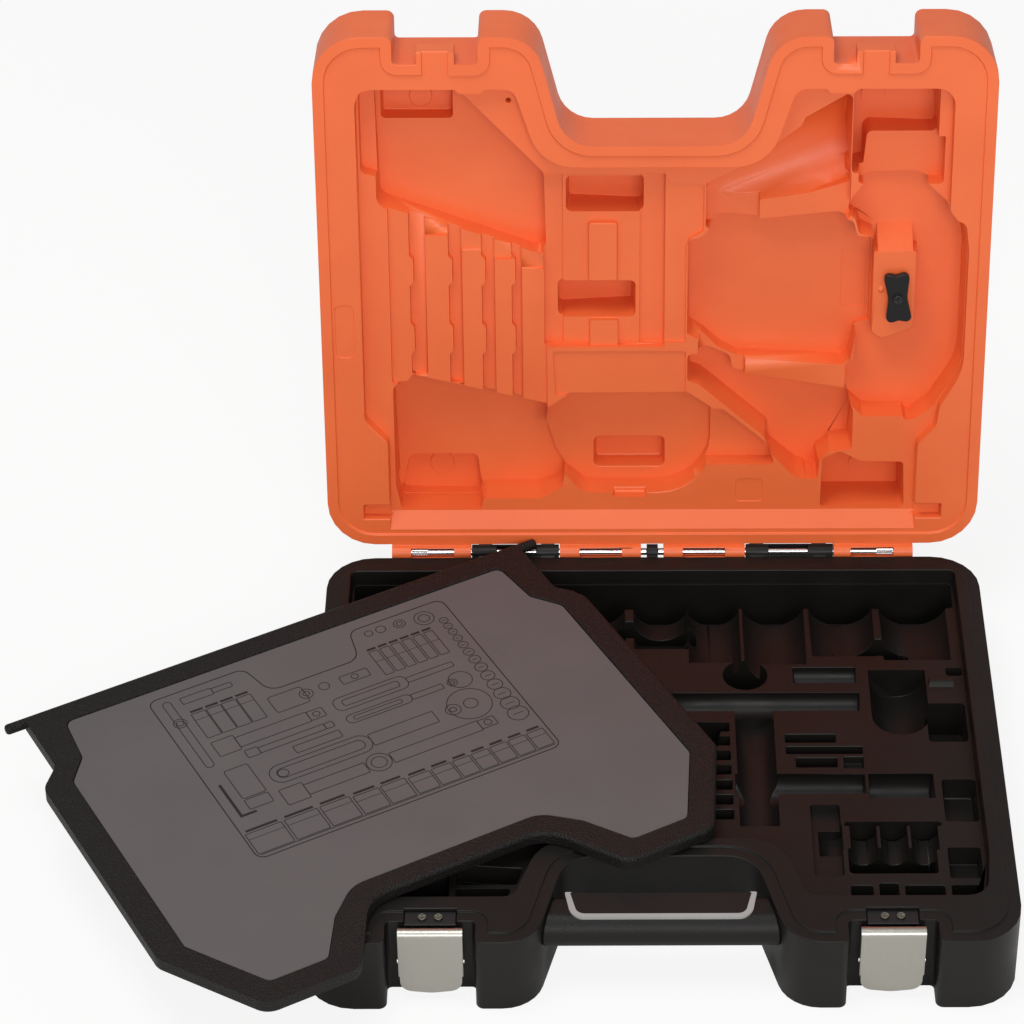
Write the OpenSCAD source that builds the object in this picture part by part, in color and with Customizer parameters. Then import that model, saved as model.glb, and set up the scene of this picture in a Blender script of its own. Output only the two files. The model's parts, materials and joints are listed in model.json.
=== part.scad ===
// Hard tool case, opened out: a blow-moulded base and lid with a tool layout
// moulded into each half, a carrying handle, two flip latches, a printed
// inlay panel lying across the base, and a turn clip in the lid.
//
// Frame: origin at the middle of the base's bottom face, +Z up, +X to the
// right, +Y towards the hinge. Plan points are [x, u, corner radius], where
// u is measured forwards from the hinge axis.

/* [Case] */
// Width of the case, side to side
case_w = 445; // [360:1:560]
// Depth of each moulded half, back edge to front edge
case_d = 374; // [300:1:470]
// Height of the base, floor to parting plane
base_h = 57; // [52:1:80]
// Thickness of the lid
lid_h = 48; // [46:1:70]
// Radius of the case's outer corners
corner_r = 32; // [20:1:38]
// How far the lid stands open, from closed
lid_open = 99.4; // [92:0.1:110]
// Distance from the hinge axis to the moulded back edge
hinge_set = 6; // [5.8:0.1:9]

/* [Rim] */
// Height of the base's raised inner rim
rim_rise = 1.2; // [0.8:0.1:2]
// Clearance between the lid and the base when shut
shut_gap = 0.3; // [0.2:0.05:0.6]
// Width of the outer flange
flange_w = 7.5; // [6:0.5:9]
// Depth of the lands that the panel rests on
land_d = 10; // [9:0.5:12]

/* [Hinge] */
// Outer radius of the hinge knuckles
knuckle_r = 5.2; // [4.5:0.1:5.6]
// Diameter of the hinge pins
pin_d = 4.8; // [3.5:0.1:5.4]
// Radial running clearance round every pin
pin_gap = 0.05; // [0.02:0.01:0.1]
// Gap between neighbouring knuckles
knuckle_gap = 0.6; // [0.4:0.1:1]

/* [Latches] */
// Width of a latch cover
latch_w = 40; // [36:1:48]
// Length of a latch cover, top to bottom
latch_len = 50; // [40:1:50]
// Thickness of the latch's sheet metal
latch_t = 1.8; // [1.4:0.1:2]
// Diameter of a latch pin
latch_pin_d = 3; // [2.5:0.1:3.6]
// Distance from the hook's middle to the cover's pin
hook_drop = 23.7; // [22:0.1:26]
// Width of the recess that holds a latch
recess_w = 55.5; // [54:0.5:60]
// Depth of that recess, from the case's front
recess_d = 19; // [18:0.5:22]
// Height of the catch tab on the lid
catch_h = 16; // [12:0.5:20]
// Depth of that tab, from the floor of the recess
catch_d = 8.8; // [8:0.1:9.6]

/* [Handle] */
// Thickness of the grip, top to bottom
grip_h = 22; // [18:1:28]
// Depth of the grip, front to back
grip_d = 32; // [26:1:36]
// Diameter of the rod inside the grip
rod_d = 10; // [8:0.5:12]
// Width of the grey inlay round the thumb rest
trim_w = 3.2; // [2:0.1:4]

/* [Panel] */
// Thickness of the panel's frame
panel_t = 9; // [7:0.5:10]
// Diameter of the panel's hinge bar
bar_d = 7; // [6:0.5:8]
// Turn of the panel as it lies across the base
panel_turn = 29.3; // [25:0.1:33]
// Thickness of the printed sheet
sheet_t = 1.5; // [1:0.1:2.5]

/* [Turn clip] */
// Length of the turn clip
clip_len = 38; // [30:1:42]
// Thickness of the turn clip
clip_t = 4.5; // [3.5:0.1:5]

/* [Hidden] */
$fn = 48;
// Size of the case that the tool layout was drawn on
drawn_w = 445;
drawn_d = 374;
kx = case_w / drawn_w;
ku = case_d / drawn_d;
hinge_y = case_d / 2 + hinge_set;
front_u = hinge_set + case_d;
rest_gap = 0.3;
pin_r = pin_d / 2;
bore_r = pin_r + pin_gap;

// ---- rounded plan outlines ------------------------------------------------

arc_steps = 6;
function unit(v) = v / norm(v);
function turned(v, a) = [v.x * cos(a) - v.y * sin(a), v.x * sin(a) + v.y * cos(a)];
function flat(p) = [p.x, p.y];

// The arc that rounds corner p between its neighbours q (before) and s (after)
function corner(p, q, s, n = arc_steps) =
    let (a = unit(flat(q) - flat(p)), b = unit(flat(s) - flat(p)))
    let (half = acos(a * b) / 2, side = -sign(cross(a, b)))
    p.z < 0.3 || half > 88 ? [flat(p)] :
    let (c = flat(p) + unit(a + b) * p.z / sin(half), start = flat(p) + a * p.z / tan(half) - c)
    [for (k = [0:n]) c + turned(start, -side * (180 - 2 * half) * k / n * -1)];

function rounded(c, n = arc_steps) =
    [for (i = [0:len(c) - 1]) each corner(c[i], c[(i + len(c) - 1) % len(c)], c[(i + 1) % len(c)], n)];

// A drawn layout point, carried to this case's width and depth
function placed(p) = [p.x * kx, hinge_set + (p.y - hinge_set) * ku, p.z];
function plan(c) = [for (p = c) placed(p)];

// The outline moved inwards by d, its corners rounded to suit
function inward(p, q, s, d) =
    let (e = unit(flat(p) - flat(q)), f = unit(flat(s) - flat(p)))
    let (m = [e.y, -e.x], n = [f.y, -f.x], bend = sign(cross(e, f)))
    let (g = flat(p) + (m + n) * d / (1 + m * n))
    [g.x, g.y, max(0, p.z + bend * d)];
function inset(c, d) =
    [for (i = [0:len(c) - 1]) inward(c[i], c[(i + len(c) - 1) % len(c)], c[(i + 1) % len(c)], d)];
function mirrored(c) = concat(c, [for (i = [len(c) - 1:-1:0]) [-c[i].x, c[i].y, c[i].z]]);

// A solid standing on a plan outline, from height z0 to height z1
module prism(c, z0, z1, n = arc_steps) {
    translate([0, 0, z0])
        linear_extrude(z1 - z0) polygon([for (p = rounded(c, n)) [p.x, -p.y]]);
}
// A layout outline cut from the parting plane down to depth d, into the base
module sink(c, d) prism(plan(c), -d, 3);
// The same into the lid, whose depth runs the other way
module pocket(c, d) prism(plan(c), -2, d);
// A raised pad in the lid, from inside the floor up to depth top
module pad(c, top, floor_d) prism(plan(c), top, floor_d + 1);

module at_hinge() translate([0, hinge_y, base_h]) children();
module in_lid() at_hinge() rotate([-lid_open, 0, 0]) children();

// A profile given as [u, z] points, run along X from x0 to x1
module along_x(points, x0, x1) {
    translate([x0, 0, 0]) rotate([90, 0, 90])
        linear_extrude(x1 - x0) polygon([for (p = points) [-p.x, p.y]]);
}
module rod_x(r, x0, x1, u = 0, z = 0) {
    translate([x0, -u, z]) rotate([0, 90, 0]) cylinder(r = r, h = x1 - x0);
}
module rod_u(r, u0, u1, x = 0, z = 0) {
    translate([x, -u0, z]) rotate([90, 0, 0]) cylinder(r = r, h = u1 - u0);
}
module both_sides() {
    children();
    mirror([1, 0, 0]) children();
}

// ---- outline of the case --------------------------------------------------

// Half the notch for the handle, at its mouth and at its floor
notch_mouth = 78.4 * kx;
notch_floor = 58.8 * kx;
notch_d = 76.5 * ku;
notch_u = front_u - notch_d;
notch_slope = (notch_mouth - notch_floor) / notch_d;
latch_x = 142.6 * kx;
recess_u = front_u - recess_d;
recess_half = recess_w / 2;

// Right half of the outline from the notch round to the back
half_outline = [
    [notch_floor, notch_u, 24], [notch_mouth, front_u, 26],
    [latch_x - recess_half, front_u, 5], [latch_x - recess_half, recess_u, 3],
    [latch_x + recess_half, recess_u, 3], [latch_x + recess_half, front_u, 5],
    [case_w / 2, front_u, corner_r], [case_w / 2, hinge_set, corner_r]
];
outline = mirrored(half_outline);

// ---- base -----------------------------------------------------------------

rim_z = rim_rise;
hollow_back = 22;
base_hollow = [
    [74.5, 288, 30], [92, 340, 9], [203, 340, 14], [206.5, 300, 8], [206.5, hollow_back, 5],
    [-206.5, hollow_back, 5], [-206.5, 300, 8], [-203, 340, 14], [-92, 340, 9], [-74.5, 288, 30]
];
back_trough = [[-204, 24, 3], [204, 24, 3], [204, 50, 3], [-204, 50, 3]];
deep_tray = [[119, 286, 2], [175, 286, 2], [175, 309, 2], [119, 309, 2]];
// Socket cradles along the back: [x, radius, front end]
back_cradles = [
    [5, 18.5, 92], [40.5, 17.5, 106], [81, 21.5, 108], [127, 22.5, 100], [176, 24, 104],
    [-42, 24, 102]
];
// Cross slots that cut the ribs between the back cradles down to cusps
cusp_slots = [
    [[-27, 63, 2], [29, 63, 2], [29, 80, 2], [-27, 80, 2]],
    [[119, 82, 2], [172, 82, 2], [172, 99, 2], [119, 99, 2]]
];
cradle_floor = 26;
// Cradles that run front to back: [x, radius, from u, to u, floor depth]
long_cradles = [[64.5, 13.5, 152, 266, 28], [-187, 13, 122, 296, 28]];
// Cradles that run side to side: [u, radius, from x, to x, floor depth]
cross_cradles = [
    [146, 9.5, -38, 135, 22], [119, 8, 92, 134, 20], [226, 10.5, 50, 134, 25],
    [228, 13, 136, 178, 29]
];
// Small sockets that lie side by side: [x, radius]
small_row = [[110, 8.5], [129.5, 9.5], [149, 9.5], [168.5, 9.5]];
// Bit slots beside the long cradle
comb_u = [166, 180, 194, 208, 222, 236, 250];
// Plain pockets in the base: [depth, outline]
base_pockets = [
    [46, back_trough],
    [44, deep_tray],
    [30, [[118, 262, 2], [180, 262, 2], [180, 266, 1], [118, 266, 1]]],
    [24, [[182, 286, 2], [203, 286, 2], [203, 314, 2], [182, 314, 2]]],
    [20, [[119, 320, 2], [133, 320, 2], [133, 330, 2], [119, 330, 2]]],
    [24, [[137, 318, 2], [149, 318, 2], [149, 330, 2], [137, 330, 2]]],
    [22, [[153, 320, 2], [178, 320, 2], [178, 330, 2], [153, 330, 2]]],
    [22, [[182, 320, 2], [201, 320, 2], [201, 331, 2], [182, 331, 2]]],
    [16, [[97, 246, 2], [116, 246, 2], [116, 312, 3], [97, 312, 3]]],
    [27, [[84, 178, 1], [117, 178, 1], [117, 186, 1], [84, 186, 1]]],
    [24, [[84, 190, 1], [134, 190, 1], [134, 197, 1], [84, 197, 1]]],
    [27, [[90, 201, 1], [117, 201, 1], [117, 210, 1], [90, 210, 1]]],
    [16, [[121, 200, 1], [134, 200, 1], [134, 211, 1], [121, 211, 1]]],
    [38, [[178, 148, 3], [204, 148, 3], [204, 186, 3], [178, 186, 3]]],
    [22, [[194, 112, 2], [205, 112, 2], [205, 120, 2], [194, 120, 2]]],
    [26, [[183, 222, 3], [205, 222, 3], [205, 262, 3], [183, 262, 3]]],
    [34, [[-34, 166, 4], [44, 166, 4], [24, 262, 8], [-34, 262, 6]]],
    [34, [[-168, 49, 0], [-74, 49, 0], [-74, 150, 8], [-168, 150, 8]]],
    [30, [[-164, 168, 8], [-56, 168, 8], [-56, 282, 10], [-164, 282, 10]]],
    [36, [[-203, 308, 6], [-132, 308, 3], [-132, 334, 3], [-203, 334, 6]]],
    [24, [[-128, 300, 2], [-86, 304, 2], [-90, 318, 3], [-128, 318, 2]]],
    [18, [[-128, 322, 2], [-93, 322, 2], [-97, 333, 3], [-128, 333, 2]]]
];
round_tower_x = 60;
round_tower_u = 119;

module cradle_u(x, r, u0, u1, floor_d) {
    rod_u(r, hinge_set + (u0 - hinge_set) * ku, hinge_set + (u1 - hinge_set) * ku, x * kx, r - floor_d);
}
module cradle_x(u, r, x0, x1, floor_d) {
    rod_x(r, x0 * kx, x1 * kx, hinge_set + (u - hinge_set) * ku, r - floor_d);
}
function drawn_u(u) = hinge_set + (u - hinge_set) * ku;

module base_cuts() {
    sink(base_hollow, land_d);
    for (p = base_pockets) sink(p[1], p[0]);
    for (c = cusp_slots) sink(c, 32);
    for (c = back_cradles) cradle_u(c[0], c[1], 49, c[2], cradle_floor);
    for (c = long_cradles) cradle_u(c[0], c[1], c[2], c[3], c[4]);
    for (c = cross_cradles) cradle_x(c[0], c[1], c[2], c[3], c[4]);
    for (c = small_row) cradle_u(c[0], c[1], 264, 288, 24);
    for (u = comb_u) sink([[34, u, 1], [48, u, 1], [48, u + 9, 1], [34, u + 9, 1]], 22);
    translate([round_tower_x * kx, -drawn_u(round_tower_u), -42]) cylinder(r = 15, h = 44);
    // Round-ended cradle for the largest socket
    cradle_u(161, 19.5, 114, 160, 34);
    translate([161 * kx, -drawn_u(160), 19.5 - 34]) sphere(r = 19.5);
}

// Sloped rest in the right-hand column
module base_rest() {
    along_x([[drawn_u(122), -12], [drawn_u(126), -7], [drawn_u(129), -7], [drawn_u(142), -20],
             [drawn_u(142), -30], [drawn_u(122), -30]], 182 * kx, 198 * kx);
}

// Knuckles: [from x, to x, window from, window to], right half only
lid_knuckles = [[7.5, 64, 21, 50], [124.5, 179.5, 136.5, 166]];
base_knuckles = [[64, 124.5, 80, 107]];
centre_knuckle = 3.8;
window_low = -2.9;
window_high = 4.4;
web_top = 8;

module knuckle(k) {
    x0 = k[0] * kx + knuckle_gap / 2;
    x1 = k[1] * kx - knuckle_gap / 2;
    difference() {
        union() {
            rod_x(knuckle_r, x0, x1);
            children(0);
        }
        translate([k[2] * kx, -window_high, -knuckle_r - 1])
            cube([(k[3] - k[2]) * kx, window_high - window_low, 2 * knuckle_r + 2]);
    }
}
// Web that ties a knuckle to the edge of its shell, on one side of the parting plane
module web(k, z0, z1) {
    x0 = k[0] * kx + knuckle_gap / 2;
    x1 = k[1] * kx - knuckle_gap / 2;
    translate([x0, -web_top, z0]) cube([x1 - x0, web_top, z1 - z0]);
}
// Stop ribs behind the base, which the open lid's back wall leans on
stop_reach = 14;
stop_w = 9;
module stop_rib(x) {
    lean = lid_open - 90;
    top0 = hinge_set / cos(lean) - rest_gap;
    top1 = top0 - stop_reach * tan(lean);
    along_x([[hinge_set + 1, -24], [-hinge_set, -24], [-stop_reach, top1 - 9], [-stop_reach, top1],
             [-1.5, top0 - 1.5 * tan(lean)], [0, knuckle_r - 0.7], [hinge_set + 1, -0.5]],
            x * kx - stop_w / 2, x * kx + stop_w / 2);
}
stop_x = [72, 115];

module bracket_seat(x) {
    translate([x - ear_out - 0.4, -recess_u - 1, -3.2]) cube([2 * ear_out + 0.8, 11, 8]);
}
module screw_holes(x, r, z0, h) {
    for (s = [-5, 5]) translate([x + s, -(recess_u - 4), z0]) cylinder(r = r, h = h);
}

module base_shell() {
    color([0.13, 0.12, 0.12]) at_hinge() difference() {
        union() {
            prism(outline, -base_h, 0);
            prism(inset(outline, flange_w + 0.5), -2, rim_z);
            both_sides() for (k = base_knuckles) knuckle(k) web(k, -9, 0);
            rod_x(knuckle_r, -centre_knuckle, centre_knuckle);
            translate([-centre_knuckle, -web_top, -9]) cube([2 * centre_knuckle, web_top, 9]);
            both_sides() for (x = stop_x) stop_rib(x);
        }
        difference() {
            base_cuts();
            base_rest();
        }
        rod_x(bore_r, -case_w, case_w);
        both_sides() {
            bracket_seat(latch_x);
            screw_holes(latch_x, 1.55, -18, 20);
        }
        rod_x(rod_d / 2 + pin_gap, -rod_end, rod_end, rod_u_at, rod_z);
        base_bottom_flutes();
    }
}
// Shallow flutes that stiffen the bottom, clear of the middle
module base_bottom_flutes() {
    for (s = [-1, 1], u = [90, 150, 210])
        prism(plan([[s * 120 - 62, u, 5], [s * 120 + 62, u, 5], [s * 120 + 62, u + 22, 5],
            [s * 120 - 62, u + 22, 5]]),
              -base_h - 1, -base_h + 1.5);
}

// ---- lid ------------------------------------------------------------------

lid_rim = shut_gap + 1.5;
lid_land = land_d;
ramp_back = 17;
ramp_front = 27.6;

lid_hollow = [
    [-180, ramp_front, 0], [-180, 84, 6], [-195.5, 101, 12], [-195.5, 343, 12],
    [-132, 343, 2], [-129, 340, 2], [-114, 340, 2], [-111, 343, 2], [-92, 343, 9], [-74.5, 288, 30],
    [74.5, 288, 30], [92, 343, 9], [111, 343, 2], [114, 340, 2], [129, 340, 2], [132, 343, 2],
    [195, 343, 12], [195, 256, 4], [200, 249, 4], [206, 246, 6], [208.5, 228, 8],
    [208.5, 138, 45], [194, 111, 6], [192, 96, 9], [180, 82, 6], [180, ramp_front, 0]
];
handle_bay = [[-183.5, 343, 6], [-130, 343, 1], [-73, 281, 5], [-71.5, 218, 7], [-183.5, 257, 10]];
handle_bay_well = [[-180, 342, 3], [-132.5, 342, 3], [-132.5, 311, 3], [-180, 311, 3]];
bar_slot = [[-193.5, 342, 5], [-182, 342, 1], [-182, 278, 1], [-193.5, 281, 5]];
spanner_field = [
    [-176.5, 256, 0], [-71.5, 219, 0], [-71.5, 108, 0], [-162.5, 130.5, 0], [-166, 125, 3],
        [-176.5, 125, 3]
];
// Spanner grooves: [left x, right x, foot u]
spanner_grooves = [[-163, -152, 131], [-137, -128, 125], [-115, -106, 119], [-95, -88, 114]];
spanner_heads = [[-152.5, -136.5, 234], [-128.5, -114.5, 224], [-106.5, -94.5, 216.5],
    [-88.5, -72.5, 209.5]];
lower_bay = [
    [-176, 125, 6], [-166, 126, 2], [-162.5, 131, 2], [-71, 108.5, 2], [-73, 90, 20], [-66, 66, 12],
    [-60, 56, 3], [-62, 45, 6], [-77, 36.5, 10], [-116, 36.5, 4], [-118, 28, 1], [-172, 28, 3],
        [-176, 48, 10]
];
lower_bay_well = [[-167, 59, 5], [-120, 59, 5], [-118.5, 44, 4], [-116, 28.5, 4], [-174, 28.5, 4],
    [-170, 44, 6]];
middle_block = [[-68, 149.5, 2], [22, 149.5, 2], [22, 116, 1], [-66, 116, 2]];
round_bay = [
    [-71, 107, 3], [-60, 115, 3], [-56, 117.5, 2], [24, 118, 2], [39.5, 107, 3],
    [39.5, 41, 36], [-48, 41, 14], [-64, 60, 10], [-73, 86, 24]
];
round_bay_well = [[-40, 74.5, 4], [8.5, 74.5, 4], [8.5, 51.5, 4], [-40, 51.5, 4]];
round_bay_notch = [[-27, 44, 2], [-4, 44, 2], [-4, 37.5, 2], [-27, 37.5, 2]];
middle_column = [[-73.5, 280, 2], [7.5, 280, 1], [7.5, 152.5, 1], [-73.5, 152.5, 2]];
column_left = [[-73, 279.5, 2], [-60.5, 279.5, 1], [-60.5, 153, 1], [-73, 153, 2]];
column_right = [[-9.5, 279.5, 1], [7, 279.5, 1], [7, 153, 1], [-9.5, 153, 1]];
column_well_top = [[-58.5, 276, 4], [-7, 276, 4], [-7, 250, 4], [-58.5, 250, 4]];
column_well_low = [[-64, 199.5, 4], [-12, 199.5, 4], [-12, 172.5, 4], [-64, 172.5, 4]];
column_strip = [
    [7, 279, 1], [10, 273, 2], [33, 272.5, 2], [33, 238, 4], [24, 233, 4], [21.5, 228, 2],
        [21.5, 156, 1], [7, 156, 1]
];
column_plate = [[-43.5, 243, 2], [-24.5, 243, 2], [-24.5, 200.5, 2], [-43.5, 200.5, 2]];
column_tab = [[-42.5, 171.5, 1], [-24, 171.5, 1], [-24, 152, 1], [-42.5, 152, 1]];
ratchet_bay = [
    [22.5, 231, 2], [32, 234, 3], [42, 246, 8], [64, 244.5, 1], [70, 243.5, 1], [122, 249, 6],
    [132, 245, 6], [135, 234, 3], [145.5, 234, 1], [145.5, 163, 1], [136, 161, 4], [131.5, 134.5, 8],
    [57, 140, 2], [44, 146, 6], [34, 157, 6], [22.5, 162, 3]
];
bay_mark = [[126.5, 214.5, 1], [143, 214.5, 1], [143, 171.5, 1], [126.5, 171.5, 1]];
upper_ledge = [[34, 262, 3], [70, 269.5, 1], [70, 240, 1], [34, 240, 3]];
upper_wedge = [[66, 268.7, 3], [129.5, 282, 2], [129.5, 247, 2], [66, 240, 3]];
lower_ledge = [[30, 160, 3], [62, 155.7, 1], [62, 120.3, 1], [30, 124, 3]];
lower_wedge = [[58, 156.2, 3], [133, 146, 2], [133, 112, 2], [58, 120.7, 3]];
driver_trough = [
    [34, 246, 3], [42, 250, 3], [64, 255, 1], [66, 251, 1], [129, 270.5, 3], [129, 337, 4],
        [117, 334, 3],
    [113, 329, 3], [102, 328, 5], [96, 314, 5], [75, 297, 8], [55, 283.5, 8], [34, 273, 2]
];
corner_well = [[129.5, 342, 4], [186, 342, 4], [186, 304, 4], [140, 304, 4], [138, 281, 2],
    [129.5, 279, 3]];
corner_plateau = [[136, 306, 1], [190.5, 306, 1], [190.5, 272, 3], [134, 272, 3]];
corner_strip = [[185, 342, 3], [194.5, 342, 8], [194.5, 257, 3], [187, 262, 3]];
head_bay = [
    [128.5, 250, 4], [130, 262, 10], [140, 275, 10], [176, 276, 12], [193, 260, 10], [197, 250, 4],
    [205, 245.5, 6], [208, 228, 8], [208, 138, 45], [188, 104, 20], [172, 94.5, 4], [170, 99.5, 1],
    [142, 99.5, 3], [130, 113, 3], [130, 134, 2], [134, 142, 4], [136, 161, 3], [145.3, 163, 1],
    [145.3, 234, 1], [136, 236, 3], [133, 247, 4]
];
// The trough's round floor: [x, u, radius] at its two ends, and the depth of its axis
trough_tip = [30, 262, 14];
trough_end = [160, 310.4, 40.8];
trough_axis = 8;
clip_island = [[146.5, 222, 1], [174.5, 222, 1], [174.5, 165, 7], [153, 157, 7], [146.5, 162, 3]];
grip_bay = [
    [23, 147, 3], [38, 147, 8], [52, 140, 6], [54, 130, 3], [130, 117.5, 2], [136, 104, 3],
        [136, 74, 3],
    [120, 72, 4], [114, 64, 5], [113, 51.5, 2], [98, 51.5, 16], [80, 72, 10], [76, 84, 6],
        [31, 124, 3], [23, 127, 3]
];
step_bay = [[36, 106.5, 3], [48, 105, 3], [77, 80, 6], [84, 62.5, 3], [36, 62.5, 1]];
lower_well = [[116, 67, 4], [128, 73, 5], [142, 65, 3], [171.5, 64.5, 3], [173, 28.5, 4],
    [115, 28.5, 4]];
// Round marks on the floors of the wells: [x, u, radius]
well_marks = [[-154, 322, 7.5], [-145, 48, 8], [144.5, 322, 8], [144.5, 46, 8]];
bare_label = [[-213, 188, 4], [-200.5, 188, 4], [-200.5, 149, 4], [-213, 149, 4]];
bare_mark = [[57, 51.5, 3], [75.5, 51.5, 3], [75.5, 34, 3], [57, 34, 3]];

wall_floor = 43;
// Every plain pocket in the lid: [depth, outline]
lid_pockets = [
    [lid_land, lid_hollow], [31, handle_bay], [wall_floor, handle_bay_well], [19, bar_slot],
    [13, spanner_field], [34, lower_bay], [wall_floor, lower_bay_well], [11.5, middle_block],
    [29, round_bay], [wall_floor, round_bay_well], [17, round_bay_notch], [16, middle_column],
    [18, column_left], [18, column_right], [40, column_well_top], [wall_floor, column_well_low],
    [12, column_strip], [23, upper_ledge], [18, upper_wedge], [23, lower_ledge], [18, lower_wedge],
    [34, ratchet_bay], [34.6, bay_mark],
    [wall_floor, corner_well], [24, corner_plateau], [15, corner_strip],
    [30, head_bay], [37, grip_bay], [24, step_bay], [wall_floor, lower_well],
    [lid_rim + 0.6, bare_label], [lid_land + 0.6, bare_mark]
];

// The spanner field's slanted edge, towards the handle bay
function field_edge(x) = 256 - (x + 176.5) * 0.352;
function groove(g) = [
    [g[0], g[2], 0], [g[0], 146, 1], [g[0] + 2.4, 149, 1], [g[0] + 2.4, 166, 1], [g[0], 169, 1],
    [g[0], 197, 1], [g[0] + 2.6, 200, 1], [g[0] + 2.6, 216, 1], [g[0], 219, 1],
    [g[0], field_edge(g[0]) + 0.5, 0], [g[1], field_edge(g[1]) + 0.5, 0], [g[1], g[2] - 2, 0]
];

// A round trough that widens from its tip to its end
module driver_cone() {
    run = flat(placed(trough_end)) - flat(placed(trough_tip));
    translate([trough_tip.x * kx, -drawn_u(trough_tip.y), trough_axis])
        rotate([0, 90, -atan2(run.y, run.x)])
            cylinder(r1 = trough_tip.z, r2 = trough_end.z, h = norm(run));
}

module lid_cuts() {
    for (p = lid_pockets) pocket(p[1], p[0]);
    intersection() {
        pocket(driver_trough, wall_floor + 1);
        driver_cone();
    }
    for (g = spanner_grooves) pocket(groove(g), 18);
    for (h = spanner_heads) pocket([[h[0], field_edge(h[0]) + 0.5, 0], [h[1], field_edge(h[1]) + 0.5, 0],
        [h[1], h[2], 0.5], [h[0], h[2], 0.5]], 15);
    // Sloped strip along the hinge side
    along_x([[drawn_u(ramp_back), -2], [drawn_u(ramp_back), lid_rim], [drawn_u(ramp_front), lid_land],
             [drawn_u(ramp_front) + 1, lid_land], [drawn_u(ramp_front) + 1, -2]], -180 * kx, 180 * kx);
    // Seats for the panel's hinge bar
    both_sides() pocket([[178, 25, 1], [198, 25, 1], [198, 36, 1], [178, 36, 1]], lid_land - 1);
    // Hole left by the blow pin
    translate([-95.6 * kx, -drawn_u(332), lid_land - 1]) cylinder(r = 1.7, h = 14);
}
module lid_pads() {
    pad(column_plate, 12.5, 16);
    pad(column_tab, 12.5, 18);
    for (m = well_marks)
        translate([m[0] * kx, -drawn_u(m[1]), wall_floor - 1]) cylinder(r = m[2], h = 2);
    pad(clip_island, clip_floor, 36);
    along_x([[drawn_u(221), clip_floor], [drawn_u(222), clip_floor], [drawn_u(236), 31],
        [drawn_u(221), 31]],
            149 * kx, 172.5 * kx);
    translate([clip_x, -clip_u, clip_floor - clip_boss]) cylinder(r = 5.5, h = clip_boss + 1);
    // Bump that the turned clip rides over
    translate([152 * kx, -drawn_u(194), clip_floor + 2]) sphere(r = 3);
}
// Catch tab for one latch, with the rim's step carried across it
module catch_tab(x) {
    translate([x - 12.5, -(recess_u + catch_d), shut_gap]) cube([25, catch_d + 1, catch_h - shut_gap]);
}
module lid_top_flutes() {
    for (u = [70, 120, 170, 220])
        prism(plan([[-150, u, 6], [150, u, 6], [150, u + 26, 6],
            [-150, u + 26, 6]]), lid_h - 1.5, lid_h + 1);
}

module lid_shell() {
    color([0.91, 0.41, 0.24]) in_lid() difference() {
        union() {
            difference() {
                prism(outline, shut_gap, lid_h);
                prism(inset(outline, flange_w), -1, lid_rim);
                lid_cuts();
                lid_top_flutes();
            }
            intersection() {
                lid_pads();
                prism(outline, shut_gap, lid_h);
            }
            both_sides() {
                catch_tab(latch_x);
                for (k = lid_knuckles) knuckle(k) web(k, shut_gap, 9);
            }
        }
        both_sides() translate([latch_x - 8.5, -(recess_u + 10), -1]) cube([17, 22, 1 + lid_rim]);
        rod_x(bore_r, -case_w, case_w);
        translate([clip_x, -clip_u, clip_floor - clip_boss - 1]) cylinder(r = clip_screw_r + pin_gap,
            h = 16);
    }
}

// ---- hinge pins -----------------------------------------------------------

pin_inner = 3.9;
pin_outer = 168;

module hinge_pin() {
    color([0.78, 0.78, 0.8]) at_hinge() {
        rod_x(pin_r, -pin_outer * kx, -pin_inner);
    }
}
module hinge_pin_left() hinge_pin();
module hinge_pin_right() mirror([1, 0, 0]) hinge_pin();

// ---- latches --------------------------------------------------------------

// Each latch is a toggle. The cover hangs on two short links; folding them up
// lifts it, and its rolled top edge comes down behind the lid's catch tab.
hook_r = 4.2;
hook_gap = 0.6;
cover_in_u = recess_u + catch_d + 0.4;
hook_u = cover_in_u + latch_t - hook_r;
hook_z = -hook_r - hook_gap;
hook_lip = hook_u - 2.3;
link_len = (catch_h + hook_gap - hook_z) / 2;
cover_pin_z = hook_z - hook_drop;
base_pin_z = cover_pin_z + link_len;
link_t = 1.8;
link_r = 3.2;
side_gap = 0.3;
pivot_u = cover_in_u - link_r - side_gap;
link_out = latch_w / 2 - latch_t - side_gap;
ear_out = link_out - link_t - side_gap;
ear_t = 2;

// Folded steel bracket: screwed flange, back plate and two ears for the pin
module latch_bracket(x) {
    color([0.15, 0.15, 0.16]) at_hinge() difference() {
        union() {
            translate([x - ear_out, -(recess_u + 2), -3.2]) cube([2 * ear_out, 11.6, 2]);
            translate([x - ear_out, -(recess_u + 2), base_pin_z - 6])
                cube([2 * ear_out, 2, -1.2 - base_pin_z + 6]);
            for (s = [-1, 1]) {
                translate([x + s * (ear_out - ear_t / 2) - ear_t / 2, -pivot_u, base_pin_z - link_r])
                    cube([ear_t, pivot_u - recess_u - 1, 2 * link_r]);
                rod_x(link_r, x + s * (ear_out - ear_t / 2) - ear_t / 2,
                      x + s * (ear_out - ear_t / 2) + ear_t / 2, pivot_u, base_pin_z);
            }
        }
        rod_x(latch_pin_d / 2 + pin_gap, x - 40, x + 40, pivot_u, base_pin_z);
        screw_holes(x, 1.6, -6, 8);
    }
}
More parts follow.
